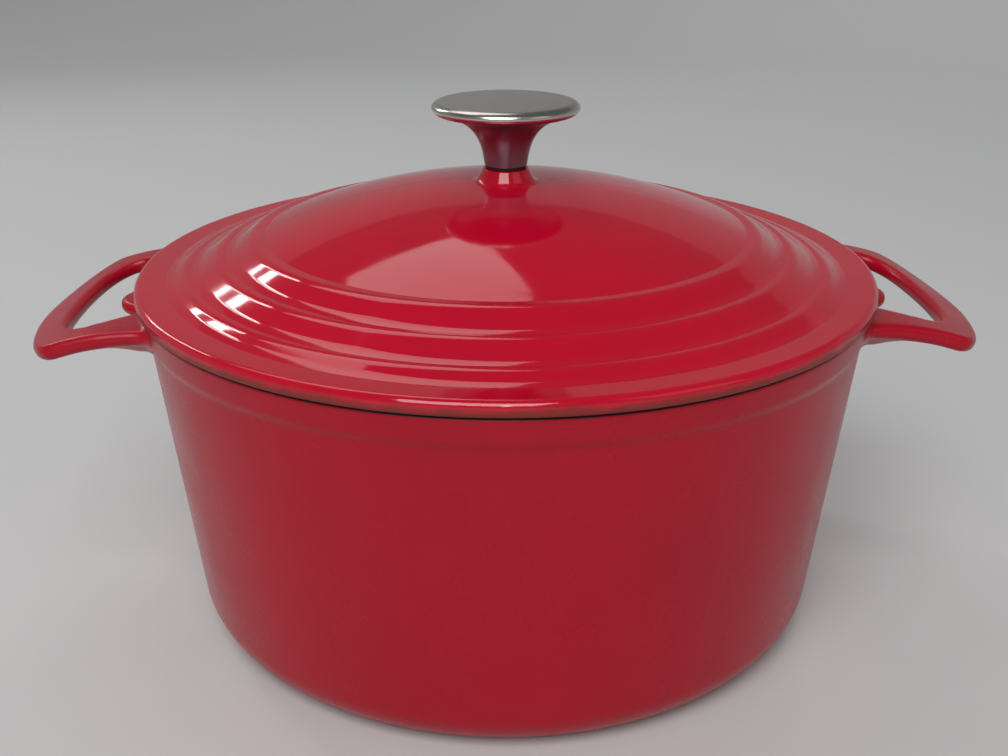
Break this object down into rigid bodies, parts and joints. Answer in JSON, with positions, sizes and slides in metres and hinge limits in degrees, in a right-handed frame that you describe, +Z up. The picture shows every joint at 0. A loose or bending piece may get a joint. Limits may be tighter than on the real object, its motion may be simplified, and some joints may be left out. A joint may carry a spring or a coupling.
{
  "type": "dutch oven",
  "caption": "Round enamelled cast-iron dutch oven with tapered sides, drooping loop handles, a domed lid with stepped rings and a steel lid knob held by a screw.",
  "frame": {"origin": "on the resting surface, under the middle of the pot", "axes": "+Z up along the axis of the pot, lid and knob; +X and -X through the two handles"},
  "size_m": [0.3246, 0.252, 0.1798],
  "materials": {
    "enamel": "glossy red vitreous enamel on cast iron",
    "stainless_steel": "satin top, polished edge and stem",
    "zinc_plated_steel": "bright zinc plate",
    "gasket": "matt black heat-proof gasket"
  },
  "bodies": {
    "pot": {"pot": "enamel"},
    "lid": {"lid": "enamel", "knob_gasket": "gasket", "flat_washer": "zinc_plated_steel", "spring_washer": "zinc_plated_steel"},
    "screw": {"knob_screw": "zinc_plated_steel"},
    "knob": {"knob_cap": "stainless_steel", "knob_stem": "stainless_steel", "knob_insert": "zinc_plated_steel"}
  },
  "joints": [
    {"name": "lid_lift", "type": "slide", "parent": "pot", "child": "lid", "axis": [0, 0, 1], "range_m": [0, 0.15]},
    {"name": "screw_turn", "type": "hinge", "parent": "lid", "child": "screw", "pos_m": [0, 0, 0.145], "axis": [0, 0, -1], "range_deg": [0, 3600]},
    {"name": "knob_off", "type": "slide", "parent": "lid", "child": "knob", "axis": [0, 0, 1], "range_m": [0, 0.01]}
  ],
  "couplings": [
    {"joint": "screw_turn", "follows": "knob_off", "rad_per_m": 6283.2}
  ]
}
